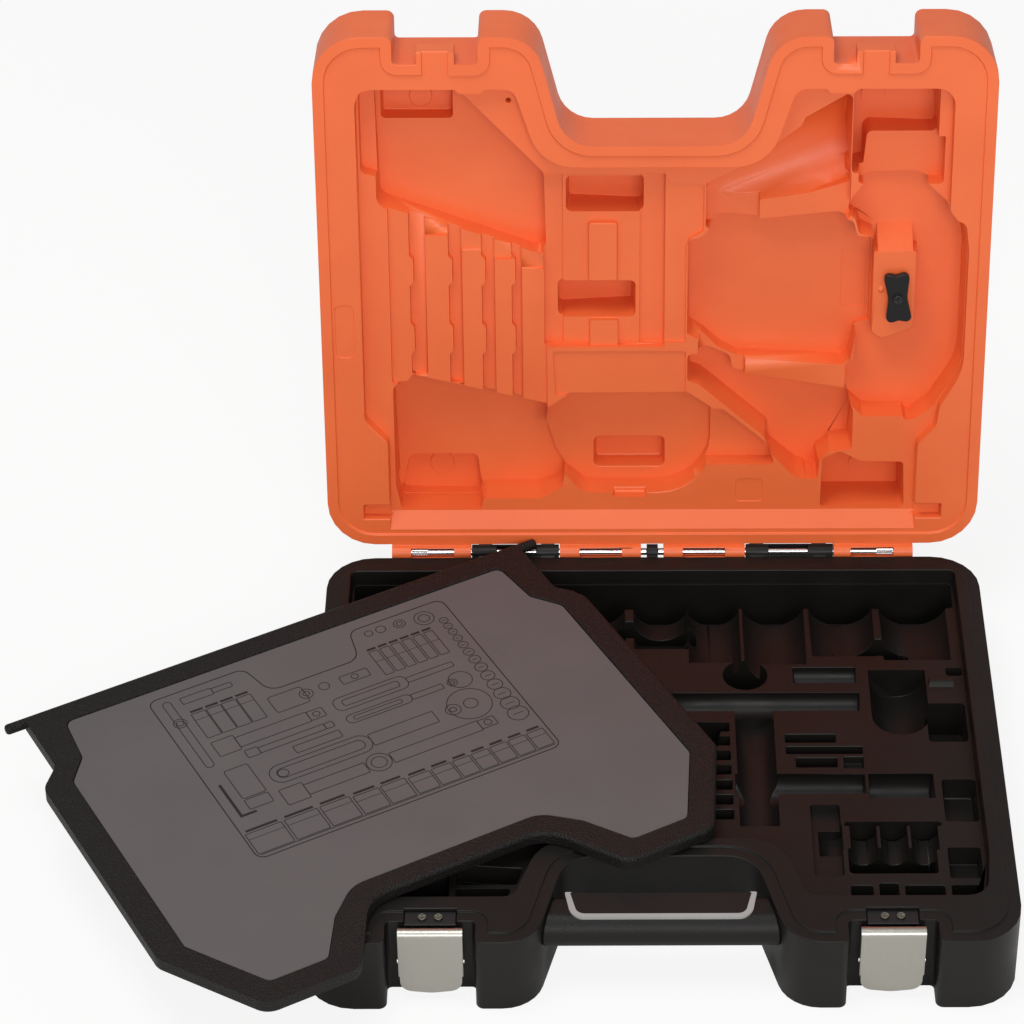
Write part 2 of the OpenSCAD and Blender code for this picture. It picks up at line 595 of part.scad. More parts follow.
// Two pan-head screws with cross slots
module latch_screws(x) {
    color([0.75, 0.75, 0.77]) at_hinge() for (s = [-5, 5])
        translate([x + s, -(recess_u - 4), 0]) difference() {
            union() {
                translate([0, 0, -16]) cylinder(r = 1.5, h = 15);
                translate([0, 0, -1.2]) cylinder(r = 2.7, h = 1.6);
            }
            translate([-2, -0.3, -0.3]) cube([4, 0.6, 2]);
            translate([-0.3, -2, -0.3]) cube([0.6, 4, 2]);
        }
}
// Pin through the bracket's ears and the links
module latch_base_pin(x) {
    color([0.8, 0.8, 0.82]) at_hinge()
        rod_x(latch_pin_d / 2, x - link_out, x + link_out, pivot_u, base_pin_z);
}
module latch_links(x) {
    color([0.5, 0.5, 0.52]) at_hinge() for (s = [-1, 1]) {
        x0 = x + s * (link_out - link_t / 2) - link_t / 2;
        difference() {
            union() {
                rod_x(link_r, x0, x0 + link_t, pivot_u, base_pin_z);
                rod_x(link_r, x0, x0 + link_t, pivot_u, cover_pin_z);
                translate([x0, -pivot_u - link_r, cover_pin_z]) cube([link_t, 2 * link_r, link_len]);
            }
            rod_x(latch_pin_d / 2 + pin_gap, x - 40, x + 40, pivot_u, base_pin_z);
            rod_x(latch_pin_d / 2 + pin_gap, x - 40, x + 40, pivot_u, cover_pin_z);
        }
    }
}
// Pin through the links and the cover's sides
module latch_cover_pin(x) {
    color([0.8, 0.8, 0.82]) at_hinge()
        rod_x(latch_pin_d / 2, x - latch_w / 2 - 1, x + latch_w / 2 + 1, pivot_u, cover_pin_z);
}
// Cover plate with folded sides and a rolled hook along its top edge
module latch_cover(x) {
    low = hook_r - latch_len;
    half = latch_w / 2;
    color([0.72, 0.71, 0.68]) at_hinge() translate([x, -hook_u, hook_z]) difference() {
        union() {
            translate([0, latch_t - hook_r, 0]) rotate([90, 0, 0]) linear_extrude(latch_t)
                polygon(rounded([[half, 0, 0], [half - 1, low + 2, 8], [0, low - 0.4, 30],
                    [1 - half, low + 2, 8], [-half, 0, 0]]));
            difference() {
                rod_x(hook_r, -half, half);
                rod_x(hook_r - latch_t, -half - 1, half + 1);
                translate([-half - 1, -hook_r - 1, -hook_r - 1]) cube([latch_w + 2, 2 * hook_r + 2,
                    hook_r + 1]);
                translate([-14.5, hook_u - hook_lip, -1]) cube([29, hook_r + 1, hook_r + 2]);
            }
            for (s = [-1, 1]) translate([s * (half - latch_t / 2) - latch_t / 2, 0, 0])
                rotate([90, 0, 90]) linear_extrude(latch_t)
                    polygon([[0.6 - hook_r, 0.4], [hook_r, 0.4], [hook_r, -8], [3.6, -hook_drop],
                             [2.4, -hook_drop - 4], [0.6 - hook_r, -hook_drop - 9]]);
        }
        rod_x(latch_pin_d / 2 + pin_gap, -latch_w, latch_w, pivot_u - hook_u, -hook_drop);
    }
}
module latch_bracket_left() latch_bracket(-latch_x);
module latch_bracket_right() latch_bracket(latch_x);
module latch_screws_left() latch_screws(-latch_x);
module latch_screws_right() latch_screws(latch_x);
module latch_base_pin_left() latch_base_pin(-latch_x);
module latch_base_pin_right() latch_base_pin(latch_x);
module latch_links_left() latch_links(-latch_x);
module latch_links_right() latch_links(latch_x);
module latch_cover_pin_left() latch_cover_pin(-latch_x);
module latch_cover_pin_right() latch_cover_pin(latch_x);
module latch_cover_left() latch_cover(-latch_x);
module latch_cover_right() latch_cover(latch_x);

// ---- handle ---------------------------------------------------------------

grip_top = -4;
grip_u = notch_u + 27.5 * ku;
rod_u_at = grip_u + grip_d * 0.48;
rod_z = grip_top - grip_h / 2;
rod_end = notch_mouth + 8;
inlay_d = 2;
function notch_x(u) = notch_floor + (u - notch_u) * notch_slope;

grip_section = [
    [grip_u, grip_top, 7], [grip_u + grip_d, grip_top, 12],
    [grip_u + grip_d - 2, grip_top - grip_h, 9], [grip_u + 4, grip_top - grip_h, 9]
];
thumb_rest = [
    [-0.86 * notch_x(grip_u), grip_u + 1.5, 1], [0.86 * notch_x(grip_u), grip_u + 1.5, 1],
    [0.79 * notch_x(grip_u), grip_u + grip_d - 11.5, 6], [-0.79 * notch_x(grip_u),
        grip_u + grip_d - 11.5, 6]
];
inlay_ring = [
    [-0.86 * notch_x(grip_u) - trim_w, grip_u + 1.5, 1], [0.86 * notch_x(grip_u) + trim_w,
        grip_u + 1.5, 1],
    [0.79 * notch_x(grip_u) + trim_w + 0.6, grip_u + grip_d - 11.5 + trim_w, 9],
    [-0.79 * notch_x(grip_u) - trim_w - 0.6, grip_u + grip_d - 11.5 + trim_w, 9]
];

module handle_grip() {
    u0 = grip_u - 1;
    u1 = grip_u + grip_d + 1;
    color([0.14, 0.13, 0.13]) at_hinge() difference() {
        intersection() {
            along_x(rounded(grip_section), -notch_mouth, notch_mouth);
            prism([[-notch_x(u0), u0, 0], [notch_x(u0), u0, 0], [notch_x(u1), u1, 0],
                [-notch_x(u1), u1, 0]], -40, 5);
        }
        prism(inlay_ring, grip_top - inlay_d, 5);
        rod_x(rod_d / 2 + pin_gap, -case_w, case_w, rod_u_at, rod_z);
    }
}
module handle_rod() {
    color([0.7, 0.7, 0.72]) at_hinge() rod_x(rod_d / 2, -rod_end + 0.5, rod_end - 0.5, rod_u_at, rod_z);
}
module handle_thumb_rest() {
    color([0.17, 0.16, 0.16]) at_hinge() prism(thumb_rest, grip_top - inlay_d, grip_top + 0.5);
}
module handle_inlay() {
    color([0.6, 0.6, 0.6]) at_hinge() difference() {
        prism(inlay_ring, grip_top - inlay_d, grip_top + 1);
        prism(thumb_rest, grip_top - 9, 5);
    }
}

// ---- panel ----------------------------------------------------------------

bar_half = 196 * kx;
// The bar's right-hand tip, which lies on a hinge knuckle at the back
bar_tip_x = -80.5 * kx;
bar_tip_u = 1.7;
// The front of the panel lies on the rim, so the panel tilts a little
panel_z = rim_z + rest_gap;
panel_rise = knuckle_r + rest_gap - (panel_t - bar_d) - panel_z;
panel_tilt = asin(panel_rise / (330 * ku));

half_frame = [
    [62 * kx, 256 * ku, 26], [93 * kx, 307 * ku, 12], [156 * kx, 307 * ku, 14],
    [197.5 * kx, 240 * ku, 12], [197.5 * kx, 67 * ku, 12], [182.5 * kx, 51 * ku, 8], [182.5 * kx, 0, 1]
];
half_sheet = [
    [66 * kx, 241 * ku, 22], [87 * kx, 260 * ku, 14], [106.5 * kx, 290 * ku, 6], [146 * kx, 290 * ku, 6],
    [178.5 * kx, 238 * ku, 6], [178.5 * kx, 69.5 * ku, 8], [164 * kx, 51 * ku, 8], [160 * kx, 14.5, 6]
];
module in_panel() {
    at_hinge() translate([bar_tip_x, -bar_tip_u, panel_z + panel_rise]) rotate([0, 0, panel_turn])
        rotate([panel_tilt, 0, 0]) translate([-bar_half, 0, 0]) children();
}
module panel_frame() {
    color([0.15, 0.14, 0.14]) in_panel() difference() {
        prism(mirrored(half_frame), 0, panel_t);
        prism(mirrored(half_sheet), panel_t - sheet_t - 0.8, panel_t + 1);
        rod_x(bar_d / 2 + pin_gap, -case_w, case_w, 0, panel_t - bar_d / 2);
    }
}
module panel_bar() {
    color([0.15, 0.15, 0.15]) in_panel() rod_x(bar_d / 2, -bar_half, bar_half, 0, panel_t - bar_d / 2);
}
module panel_sheet() {
    color([0.4, 0.37, 0.38]) in_panel()
        prism(inset(mirrored(half_sheet), 0.3), panel_t - sheet_t - 0.8, panel_t - 0.8);
}

// ---- turn clip ------------------------------------------------------------

clip_x = 163 * kx;
clip_u = drawn_u(190);
clip_floor = 12;
clip_tilt = -4.5;
clip_screw_r = 2;
clip_boss = 1.3;
clip_low = clip_floor - clip_boss - rest_gap;
clip_shape = [
    [-9.2, -clip_len / 2, 3.5], [0, 2.6 - clip_len / 2, 2], [9.2, -clip_len / 2, 3.5], [6.2, 0, 20],
    [9.2, clip_len / 2, 3.5], [0, clip_len / 2 - 2.6, 2], [-9.2, clip_len / 2, 3.5], [-6.2, 0, 20]
];
module at_clip() in_lid() translate([clip_x, -clip_u, 0]) rotate([0, 0, clip_tilt]) children();
module turn_clip() {
    color([0.08, 0.08, 0.08]) at_clip() difference() {
        translate([0, 0, clip_low - clip_t]) linear_extrude(clip_t) polygon(rounded(clip_shape));
        translate([0, 0, clip_low - clip_t - 1]) cylinder(r = clip_screw_r + pin_gap, h = clip_t + 2);
    }
}
module clip_washer() {
    color([0.7, 0.7, 0.7]) at_clip() difference() {
        translate([0, 0, clip_low - clip_t - 0.8]) cylinder(r = 3.6, h = 0.6);
        translate([0, 0, clip_low - clip_t - 2]) cylinder(r = clip_screw_r, h = 4);
    }
}
module clip_screw() {
    color([0.75, 0.75, 0.76]) at_clip() difference() {
        union() {
            translate([0, 0, clip_low - clip_t - 0.8]) cylinder(r = clip_screw_r, h = clip_t + 14);
            translate([0, 0, clip_low - clip_t - 2.4]) cylinder(r = 3.2, h = 1.6);
        }
        translate([-2.4, -0.35, clip_low - clip_t - 3]) cube([4.8, 0.7, 1.5]);
        translate([-0.35, -2.4, clip_low - clip_t - 3]) cube([0.7, 4.8, 1.5]);
    }
}

base_shell();
lid_shell();
hinge_pin_left();
hinge_pin_right();
latch_bracket_left();
latch_bracket_right();
latch_screws_left();
latch_screws_right();
latch_base_pin_left();
latch_base_pin_right();
latch_links_left();
latch_links_right();
latch_cover_pin_left();
latch_cover_pin_right();
latch_cover_left();
latch_cover_right();
handle_grip();
handle_rod();
handle_thumb_rest();
handle_inlay();
panel_frame();
panel_bar();
panel_sheet();
turn_clip();
clip_washer();
clip_screw();
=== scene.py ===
# %% [markdown]
# # An open tool case, dressed for its picture
# The case comes in as a finished CAD model: every piece has its true size and place, and
# the joints are already known. This lesson gives the pieces their looks. The moulded shells
# get softened edges and tapered walls, the metal gets its sheen, and the loose panel gets
# its print. First we load the frame.

# %% Load the frame
import json
import math

import bmesh
import bpy
import numpy as np
from mathutils import Matrix, Vector


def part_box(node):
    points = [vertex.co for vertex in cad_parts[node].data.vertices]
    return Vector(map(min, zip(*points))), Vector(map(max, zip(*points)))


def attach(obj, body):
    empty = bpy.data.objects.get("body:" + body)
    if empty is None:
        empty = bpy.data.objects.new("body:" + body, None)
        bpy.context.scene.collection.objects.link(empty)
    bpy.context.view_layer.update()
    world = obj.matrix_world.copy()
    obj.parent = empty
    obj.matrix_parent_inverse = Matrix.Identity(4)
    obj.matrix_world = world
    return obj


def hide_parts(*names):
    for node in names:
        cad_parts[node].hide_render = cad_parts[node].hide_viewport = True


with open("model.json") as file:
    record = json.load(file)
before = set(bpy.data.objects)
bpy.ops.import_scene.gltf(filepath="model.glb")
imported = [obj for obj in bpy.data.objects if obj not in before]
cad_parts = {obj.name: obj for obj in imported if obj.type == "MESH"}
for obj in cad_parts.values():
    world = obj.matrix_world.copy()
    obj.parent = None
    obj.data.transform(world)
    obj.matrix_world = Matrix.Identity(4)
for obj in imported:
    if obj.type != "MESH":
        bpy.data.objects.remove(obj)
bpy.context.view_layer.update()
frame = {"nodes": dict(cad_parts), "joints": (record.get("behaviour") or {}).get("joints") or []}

nodes = frame["nodes"]
print("CAD pieces:", len(nodes))

# %% [markdown]
# ## The sizes that the looks depend on
# A few lengths decide where the looks go. They are read from the CAD pieces, so that the
# dressing stays on the model if its size changes.

# %% Where things are
base_low, base_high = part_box("base_shell")
hinge = next(j for j in frame["joints"] if j["name"] == "lid_hinge")
hinge_at = Vector(hinge["pos_m"])
lid_open = math.radians(99.4)
# Directions of the open lid: along it from the hinge, and into its thickness
lid_along = Vector((0, -math.cos(lid_open), math.sin(lid_open)))
lid_into = Vector((0, math.sin(lid_open), math.cos(lid_open)))
base_deep = hinge_at.z - base_low.z
lid_deep = 0.048
print("parting plane at", round(hinge_at.z, 4), "base depth", round(base_deep, 4))

# %% [markdown]
# ## The camera
# The picture was taken with a long lens from above the front of the case. Its place, its
# angle and its focal length were worked out from the case's own straight edges.

# %% Camera
camera_data = bpy.data.cameras.new("camera")
camera_data.sensor_width = 36.0
camera_data.lens = 135.24
camera_data.shift_x = -0.0769
camera_data.shift_y = -0.0473
camera = bpy.data.objects.new("camera", camera_data)
camera.location = (-0.0483, hinge_at.y - 2.0630, hinge_at.z + 1.6678)
camera.rotation_euler = (math.radians(52.36), math.radians(0.048), math.radians(-0.203))
bpy.context.scene.collection.objects.link(camera)
bpy.context.scene.camera = camera
bpy.context.scene.view_settings.view_transform = "Standard"
print("camera at", [round(v, 3) for v in camera.location])

# %% [markdown]
# ## Helpers for materials
# Every finish here is built from nodes, with patterns in real lengths: Object coordinates
# are metres, so a noise scale of 1000 gives grains about a millimetre across.

# %% Node helpers
# Dark plastic is given a weaker mirror than bright plastic is
dark_shine, full_shine = 0.22, 0.5


def new_material(name, colour, roughness, metallic=0.0):
    """A material with one Principled shader; returns it with its tree and shader."""
    material = bpy.data.materials.new(name)
    material.use_nodes = True
    tree = material.node_tree
    shader = tree.nodes["Principled BSDF"]
    shader.inputs["Base Color"].default_value = (*colour, 1.0)
    shader.inputs["Roughness"].default_value = roughness
    shader.inputs["Metallic"].default_value = metallic
    if not metallic:
        shine = dark_shine if max(colour) < 0.3 else full_shine
        shader.inputs["Specular IOR Level"].default_value = shine
    return material, tree, shader


def object_coords(tree, stretch=(1, 1, 1)):
    """Object coordinates, stretched along the axes."""
    coords = tree.nodes.new("ShaderNodeTexCoord")
    mapping = tree.nodes.new("ShaderNodeMapping")
    mapping.inputs["Scale"].default_value = stretch
    tree.links.new(coords.outputs["Object"], mapping.inputs["Vector"])
    return mapping.outputs["Vector"]


def noise(tree, vector, scale, detail=2.0, rough=0.5):
    """Smooth noise between 0 and 1, with 'scale' grains to the metre."""
    node = tree.nodes.new("ShaderNodeTexNoise")
    node.inputs["Scale"].default_value = scale
    node.inputs["Detail"].default_value = detail
    node.inputs["Roughness"].default_value = rough
    tree.links.new(vector, node.inputs["Vector"])
    return node.outputs["Fac"]


def remap(tree, value, low, high, out_low, out_high):
    """Stretches the span from low to high over the span from out_low to out_high."""
    node = tree.nodes.new("ShaderNodeMapRange")
    node.inputs["From Min"].default_value = low
    node.inputs["From Max"].default_value = high
    node.inputs["To Min"].default_value = out_low
    node.inputs["To Max"].default_value = out_high
    tree.links.new(value, node.inputs["Value"])
    return node.outputs["Result"]


def blend_colours(tree, factor, first, second):
    """The first colour where the factor is 0, the second where it is 1."""
    node = tree.nodes.new("ShaderNodeMix")
    node.data_type = "RGBA"
    node.inputs["A"].default_value = (*first, 1.0)
    node.inputs["B"].default_value = (*second, 1.0)
    tree.links.new(factor, node.inputs["Factor"])
    return node.outputs["Result"]


def bump(tree, shader, height, depth_m):
    """Bump whose height of 1 stands for depth_m metres; chains on to any bump before it."""
    node = tree.nodes.new("ShaderNodeBump")
    node.inputs["Strength"].default_value = 1.0
    node.inputs["Distance"].default_value = depth_m
    tree.links.new(height, node.inputs["Height"])
    before = shader.inputs["Normal"].links
    if before:
        tree.links.new(before[0].from_socket, node.inputs["Normal"])
    tree.links.new(node.outputs["Normal"], shader.inputs["Normal"])


print("node helpers ready")

# %% [markdown]
# ## Blow-moulded plastic
# Both shells are blow-moulded polyethylene. Its skin is satin: it copies the mould's fine
# sandblasting, and the wall sinks and swells a little as it cools, so that highlights
# waver. Fine noise gives the skin, and a slow noise of a few centimetres gives the waver.

# %% Moulded plastic
skin_depth = 0.00003


def moulded_plastic(name, colour, dark, roughness, waver=0.00025):
    """Satin plastic between two near colours; 'waver' is the wall's unevenness in metres."""
    material, tree, shader = new_material(name, colour, roughness)
    coords = object_coords(tree)
    tint = remap(tree, noise(tree, coords, 18.0, 3.0), 0.35, 0.7, 0.0, 1.0)
    tree.links.new(blend_colours(tree, tint, dark, colour), shader.inputs["Base Color"])
    patchy = noise(tree, coords, 40.0, 4.0, 0.6)
    tree.links.new(remap(tree, patchy, 0.3, 0.75, roughness - 0.06, roughness + 0.08),
                   shader.inputs["Roughness"])
    bump(tree, shader, noise(tree, coords, 22.0, 1.0), waver)
    bump(tree, shader, noise(tree, coords, 1900.0, 2.0, 0.6), skin_depth)
    return material


orange_plastic = moulded_plastic("orange_plastic", (0.85, 0.152, 0.038),
                                 (0.81, 0.137, 0.033), 0.42)
black_plastic = moulded_plastic("black_plastic", (0.0100, 0.0088, 0.0080),
                                (0.0082, 0.0072, 0.0065), 0.4)
print("made", orange_plastic.name, black_plastic.name)

# %% [markdown]
# ## Shells: copies of the CAD, softened
# A mould needs walls that lean, or the part would not come out, and plastic cannot fill a
# sharp corner. The CAD keeps walls upright and edges sharp. So each shell is shown by a copy
# of its CAD mesh: its loose triangles are merged into whole faces, its pocket walls are
# leaned by moving their deeper points, and its edges are rounded.

# %% A merged copy of a CAD piece
touching = 1e-6
same_plane = math.radians(0.3)
edge_of_shell = 0.0005


def merged_copy(node):
    """A bmesh of the CAD node with its loose triangles joined at their corners."""
    mesh = bmesh.new()
    mesh.from_mesh(nodes[node].data)
    bmesh.ops.remove_doubles(mesh, verts=mesh.verts, dist=touching)
    bmesh.ops.dissolve_degenerate(mesh, dist=touching, edges=mesh.edges)
    mesh.normal_update()
    return mesh


def flat_patches(mesh):
    """Connected groups of faces that lie in one plane."""
    patches, seen = [], set()
    for start in mesh.faces:
        if start in seen:
            continue
        seen.add(start)
        patch, ahead = [], [start]
        while ahead:
            face = ahead.pop()
            patch.append(face)
            for edge in face.edges:
                for other in edge.link_faces:
                    if other not in seen and other.normal.angle(start.normal, 9) < same_plane:
                        seen.add(other)
                        ahead.append(other)
        patches.append(patch)
    return patches


def join_flat_faces(mesh):
    """Joins faces that lie in one plane, but not across an edge that is marked as a seam."""
    bmesh.ops.dissolve_limit(mesh, angle_limit=same_plane, verts=mesh.verts,
                             edges=mesh.edges, use_dissolve_boundaries=False, delimit={"SEAM"})
    mesh.normal_update()


print("merging helpers ready")

# %% [markdown]
# The shells' outer faces have long flutes in them. Blender keeps a face with a hole in it by
# edges that run from the hole to the rim, and an edge left there by chance can lie along the
# rim and cross its rounding. So each outer face is first cut across its flutes, at a place of
# our own choice, and no outer face is left with a hole in it.

# %% Cut the outer faces
def cut_far_side(mesh, top_point, into, full_depth, x):
    """Cuts the shell's outermost flat face at one x, through its flutes, and marks the cut."""
    deepest = full_depth - edge_of_shell
    far = [f for f in mesh.faces if f.normal.dot(into) > 0.99
           and min((v.co - top_point).dot(into) for v in f.verts) > deepest]
    parts = list({part for f in far for part in (f, *f.edges, *f.verts)})
    cut = bmesh.ops.bisect_plane(mesh, geom=parts, dist=touching, plane_co=(x, 0, 0),
                                 plane_no=(1, 0, 0))
    for part in cut["geom_cut"]:
        if isinstance(part, bmesh.types.BMEdge):
            part.seam = True


print("cutting helper ready")

# %% [markdown]
# ## How far can an edge be rounded?
# A rounding that is wider than the wall beside it folds over itself. So each sharp edge is
# given its own width: the wanted one, or less where the face beside it is narrow or where
# a short edge would vanish. Edges that follow on from each other share the smallest width.

# %% How far each edge of a face can go
sharp_angle = math.radians(32.0)
share_of_length = 0.8
share_of_gap = 0.42
least_limit = 0.0001
no_limit = 1.0


def face_limits(face, is_sharp):
    """For each edge of a face, how far it can be offset inwards."""
    loops = list(face.loops)
    points = np.array([loop.vert.co[:] for loop in loops])
    ends = np.roll(points, -1, 0)
    length = np.maximum(np.linalg.norm(ends - points, axis=1), 1e-9)
    direction = (ends - points) / length[:, None]
    normal = np.array(face.normal[:])
    inward = np.cross(normal, direction)
    sharp = np.array([is_sharp[loop.edge] for loop in loops])
    before = np.roll(direction, 1, 0)
    bend = np.arctan2((np.cross(before, direction) * normal).sum(1), (before * direction).sum(1))
    turn = np.where(sharp & np.roll(sharp, 1), bend, 0.0)
    shrink = np.tan(np.clip(turn, -2.6, 2.6) / 2)
    total = shrink + np.roll(shrink, -1)
    limit = np.where(total > 1e-6, share_of_length * length / np.maximum(total, 1e-6), no_limit)
    # Beside an edge that stays as it is, the rounding must end before that edge does
    stays = np.array([not sharp[k] and loop.edge.calc_face_angle(0) > 0.01
                      for k, loop in enumerate(loops)])
    reach = np.where(stays, share_of_length * length, no_limit)
    sine = np.abs(np.sin(bend))
    limit = np.minimum(limit, np.roll(reach, -1) * np.roll(sine, -1) + least_limit)
    limit = np.minimum(limit, np.roll(reach, 1) * sine + least_limit)
    # Edges on the other side of a narrow strip, or just round a tight corner
    offset = points[:, None, :] - points[None, :, :]
    at = np.clip((offset * direction[None]).sum(2), 0, length[None])
    gap = np.linalg.norm(offset - at[:, :, None] * direction[None], axis=2)
    gap = np.minimum(gap, np.roll(gap, -1, 0))
    gap = np.minimum(gap, gap.T)
    middle = (points + ends) / 2
    ahead = ((middle[None] - middle[:, None]) * inward[:, None]).sum(2) > 1e-7
    start = np.concatenate([[0], np.cumsum(np.where(sharp, length, 1.0))])
    along_loop = np.abs(start[None, :-1] - start[:-1, None])
    along_loop = np.minimum(along_loop, start[-1] - along_loop)
    along_loop = along_loop - np.maximum(length[None], length[:, None])
    alike = inward @ inward.T
    facing = (alike < -0.2) | ((alike < 0.7) & (along_loop > 3 * gap))
    facing = facing & ahead & ahead.T & sharp[None] & sharp[:, None]
    limit = np.minimum(limit, share_of_gap * np.where(facing, gap, no_limit).min(1))
    return limit, turn, sharp


print("an edge takes up at most", share_of_gap, "of the gap beside it")

# %% [markdown]
# Each edge takes the smaller limit of its two faces. Where one edge follows another without
# much of a bend, as round an arc, the two belong to one run, and a run has one width.

# %% Rounding widths
bend_of_a_run = math.radians(50)


def rounding_widths(mesh, wanted):
    """For every sharp edge, the number of its run and the width that is safe for the run."""
    is_sharp = {e: len(e.link_faces) == 2 and e.calc_face_angle(0) > sharp_angle
                for e in mesh.edges}
    width = {e: wanted(e) for e, sharp in is_sharp.items() if sharp}
    leader = {e: e for e in width}

    def head(edge):
        while leader[edge] is not edge:
            leader[edge] = leader[leader[edge]]
            edge = leader[edge]
        return edge

    for face in mesh.faces:
        limits, turn, sharp = face_limits(face, is_sharp)
        for k, loop in enumerate(face.loops):
            if not sharp[k]:
                continue
            width[loop.edge] = min(width[loop.edge], float(limits[k]))
            if sharp[k - 1] and abs(turn[k]) < bend_of_a_run:
                leader[head(loop.edge)] = head(loop.link_loop_prev.edge)
    shared = {}
    for edge, value in width.items():
        shared[head(edge)] = min(shared.get(head(edge), no_limit), value)
    return {edge: (head(edge).index, shared[head(edge)]) for edge in width}


print("rounding widths ready")

# %% [markdown]
# Even so, a few corners come out folded: a face there is filled by triangles that look the
# other way. We find those spots on the rounded mesh and halve the widths beside them, a few
# times over.

# %% Find and ease folded corners
fold_area = 2e-9
fold_reach = 0.0016
most_spots = 900


def folded_spots(piece):
    """Corners of the shown triangles that face against their own face."""
    graph = bpy.context.evaluated_depsgraph_get()
    shown = piece.evaluated_get(graph)
    mesh = shown.to_mesh()
    mesh.calc_loop_triangles()
    points = np.empty(len(mesh.vertices) * 3, np.float32)
    mesh.vertices.foreach_get("co", points)
    corners = np.empty(len(mesh.loop_triangles) * 3, np.int32)
    mesh.loop_triangles.foreach_get("vertices", corners)
    owner = np.empty(len(mesh.loop_triangles), np.int32)
    mesh.loop_triangles.foreach_get("polygon_index", owner)
    normals = np.empty(len(mesh.polygons) * 3, np.float32)
    mesh.polygons.foreach_get("normal", normals)
    corners = points.reshape(-1, 3)[corners.reshape(-1, 3)].astype(float)
    area = np.cross(corners[:, 1] - corners[:, 0], corners[:, 2] - corners[:, 0])
    against = (area * normals.reshape(-1, 3)[owner]).sum(1) < -fold_area
    shown.to_mesh_clear()
    return corners[against].reshape(-1, 3)


def ease_folds(piece, runs, tries=6):
    """Halves the rounding of each run of edges that lies by a folded spot."""
    data = piece.data
    weights = data.attributes["bevel_weight_edge"].data
    ids = np.array(sorted(runs))
    run = np.array([runs[k] for k in ids])
    ends = np.array([[data.vertices[v].co[:] for v in data.edges[int(k)].vertices] for k in ids])
    along_edge = ends[:, 1] - ends[:, 0]
    square = np.maximum((along_edge ** 2).sum(1), 1e-12)
    for _ in range(tries):
        spots = folded_spots(piece)
        if not len(spots):
            break
        hit = set()
        for spot in spots[:most_spots]:
            at = np.clip(((spot - ends[:, 0]) * along_edge).sum(1) / square, 0, 1)
            away = np.linalg.norm(ends[:, 0] + at[:, None] * along_edge - spot, axis=1)
            hit |= set(run[away < fold_reach])
        for k, name in zip(ids, run):
            if name in hit:
                weights[int(k)].value *= 0.5
        data.update()
    return len(folded_spots(piece))


print("folds are looked for within", fold_reach * 1000, "mm of an edge")

# %% [markdown]
# Now the steps come together. The flat faces are joined, the widths become the weights of a
# Bevel modifier, and weighted normals keep the flat faces flat in the light.

# %% A rounded piece
thinnest = 0.00006


def shown_object(mesh, name, material):
    """Puts a finished bmesh into the scene as an object with one material."""
    data = bpy.data.meshes.new(name)
    mesh.to_mesh(data)
    mesh.free()
    data.materials.append(material)
    piece = bpy.data.objects.new(name, data)
    bpy.context.scene.collection.objects.link(piece)
    return piece


def rounded_piece(mesh, name, body, material, node, wanted, most, segments=2):
    """Turns a bmesh into an object with rounded edges that stands for its CAD node."""
    join_flat_faces(mesh)
    weights = mesh.edges.layers.float.new("bevel_weight_edge")
    widths = rounding_widths(mesh, wanted)
    mesh.edges.index_update()
    runs = {edge.index: run for edge, (run, value) in widths.items()}
    for edge, (run, value) in widths.items():
        edge.smooth = value > thinnest
        edge[weights] = value / most if edge.smooth else 0.0
    for face in mesh.faces:
        face.smooth = True
    piece = shown_object(mesh, name, material)
    bevel = piece.modifiers.new("round edges", "BEVEL")
    bevel.limit_method = "WEIGHT"
    bevel.width = most
    bevel.segments = segments
    bevel.loop_slide = False
    bevel.use_clamp_overlap = False
    folds = ease_folds(piece, runs)
    weigh = piece.modifiers.new("flat faces", "WEIGHTED_NORMAL")
    weigh.weight = 60
    weigh.keep_sharp = True
    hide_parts(node)
    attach(piece, body)
    print(name, "rounds", len(runs), "edges; folded corners left:", folds)


print("ready to round the pieces")

# %% [markdown]
# ## Leaning the pocket walls
# For every point on an upright wall, we look for the small sideways step that leans each
# wall it belongs to by the same angle. Two walls meet at most points, so the step comes from
# a least-squares solution. Outer walls run the full depth of the shell and stay upright.

# %% What each wall wants
across = Vector((1, 0, 0))
upright = 0.03
level = 0.995


def wall_wants(mesh, depth, into, full_depth, slope, keep_out):
    """For each point, the walls it lies on and how far each wants to move there."""
    along = into.cross(across).normalized()
    wants = {}
    for patch in flat_patches(mesh):
        normal = max(patch, key=lambda f: f.calc_area()).normal
        facing = normal.dot(into)
        if normal.length < 0.5 or abs(facing) > level:
            continue
        corners = {v for f in patch for v in f.verts}
        depths = [depth[v] for v in corners]
        middle = sum((v.co for v in corners), Vector()) / len(corners)
        outer = max(depths) > full_depth - edge_of_shell
        leans = abs(facing) < upright and not outer and not keep_out(middle)
        for v in corners:
            want = (depth[v] - min(depths)) * slope if leans else 0.0
            wants.setdefault(v, []).append((normal.dot(across), normal.dot(along), want))
    return wants, along


print("walls steeper than", upright, "will lean")

# %% [markdown]
# A weak pull towards no step at all settles the points whose walls ask for little, and no
# point moves much further than its walls ask. Where a face would turn over, its points go
# back home.

# %% Lean the walls
weak_pull = 0.05
furthest_step = 1.5
turned_over = 0.5


